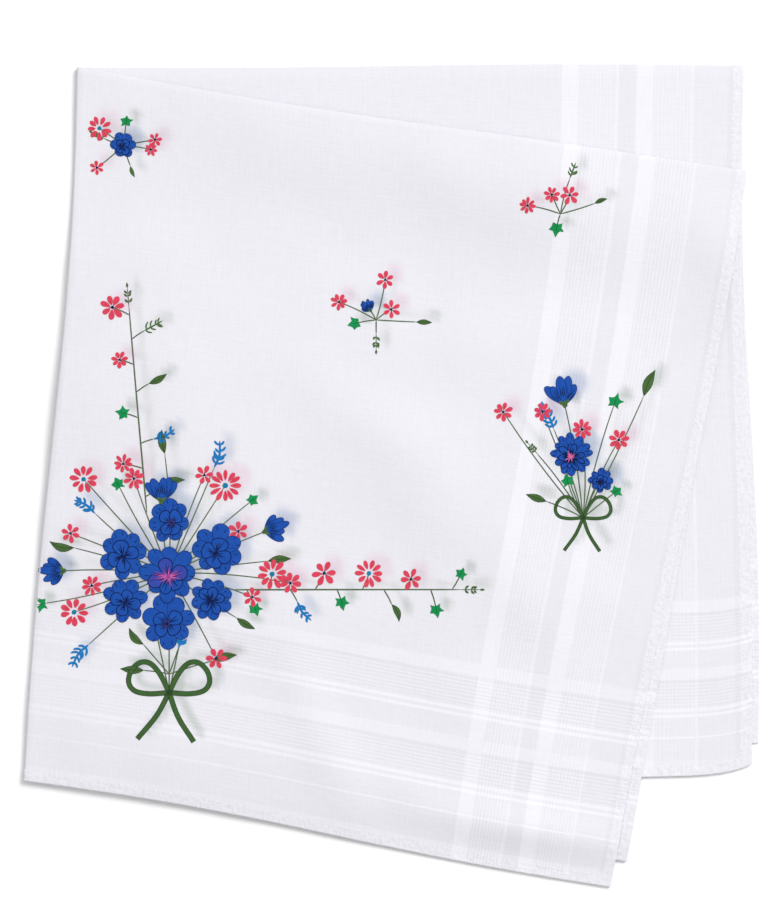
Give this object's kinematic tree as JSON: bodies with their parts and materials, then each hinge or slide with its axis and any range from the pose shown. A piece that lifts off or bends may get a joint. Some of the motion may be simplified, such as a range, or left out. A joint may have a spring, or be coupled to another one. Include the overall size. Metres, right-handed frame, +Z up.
{
  "type": "folded lawn handkerchief",
  "caption": "Thin white handkerchief with narrow stitched hems, woven satin border stripes and a printed posy in one corner, folded in quarters, fanned a little and laid flat.",
  "frame": {"origin": "centre of the bounding box at the height of the underside, which rests on the surface", "axes": "+X towards the loose side hems, +Y towards the folded top edge, +Z up out of the printed top ply"},
  "size_m": [0.1606, 0.1798, 0.0065],
  "materials": {
    "lawn_cloth": "matt, slightly sheer cool white lawn with brighter satin stripes and a printed floral"
  },
  "bodies": {
    "root": {"handkerchief_cloth": "lawn_cloth"}
  },
  "joints": []
}
